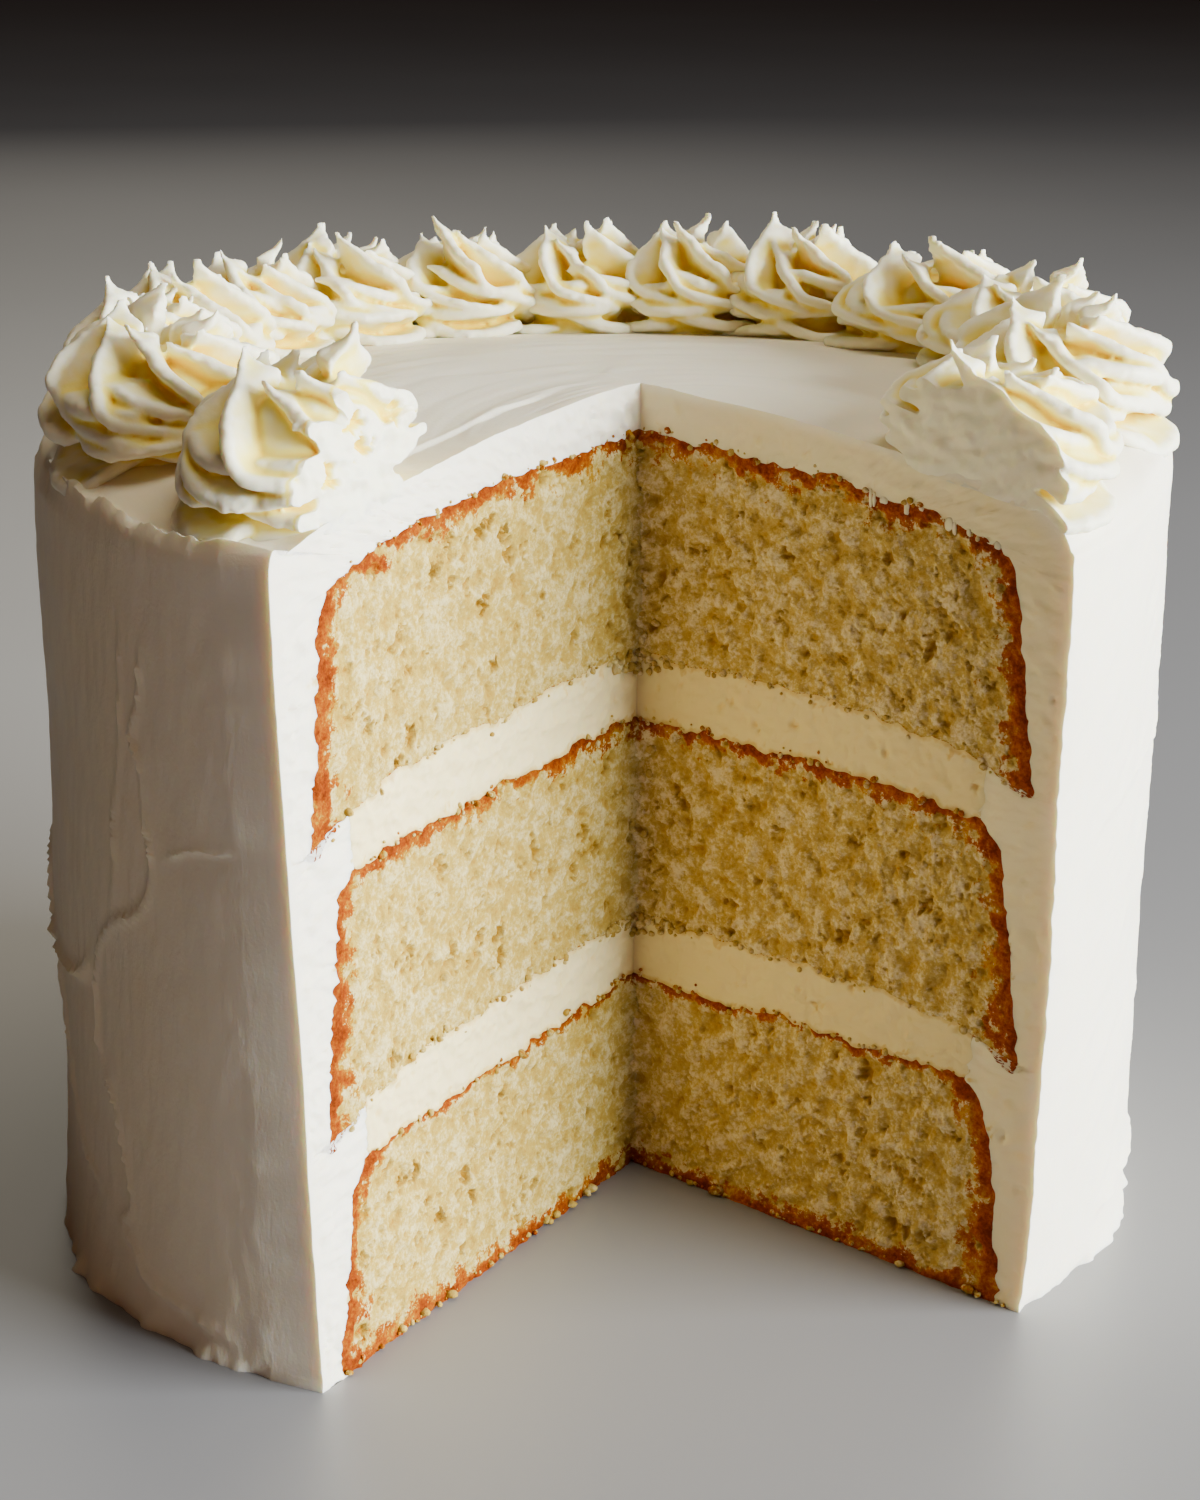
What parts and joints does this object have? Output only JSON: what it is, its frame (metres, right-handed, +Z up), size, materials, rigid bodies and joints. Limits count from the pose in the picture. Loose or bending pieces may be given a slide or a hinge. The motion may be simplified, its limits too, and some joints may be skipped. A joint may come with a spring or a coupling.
{
  "type": "layer cake",
  "caption": "Round layered sponge cake with cream fillings, a spread buttercream coat, a ring of piped swirls on the rim, and a wedge of slices taken out.",
  "frame": {"origin": "on the table under the axis of the round cake, on the flat base of the lowest sponge", "axes": "+Z up through the layers; the missing wedge opens towards -Y, with its left cut towards -X and its right cut towards +X"},
  "size_m": [0.1638, 0.1567, 0.1401],
  "materials": {
    "sponge_crumb": "open crumb with a browned crust",
    "buttercream_filling": "cut buttercream, satin",
    "buttercream_coat": "spread buttercream, satin",
    "buttercream_piped": "piped buttercream, satin"
  },
  "bodies": {
    "root": {"sponge_bottom": "sponge_crumb", "sponge_middle": "sponge_crumb", "sponge_top": "sponge_crumb", "filling_lower": "buttercream_filling", "filling_upper": "buttercream_filling", "frosting_coat": "buttercream_coat", "rosette_01": "buttercream_piped", "rosette_02": "buttercream_piped", "rosette_03": "buttercream_piped", "rosette_04": "buttercream_piped", "rosette_05": "buttercream_piped", "rosette_06": "buttercream_piped", "rosette_07": "buttercream_piped", "rosette_08": "buttercream_piped", "rosette_09": "buttercream_piped", "rosette_10": "buttercream_piped", "rosette_11": "buttercream_piped", "rosette_12": "buttercream_piped", "rosette_13": "buttercream_piped", "rosette_14": "buttercream_piped"}
  },
  "joints": []
}
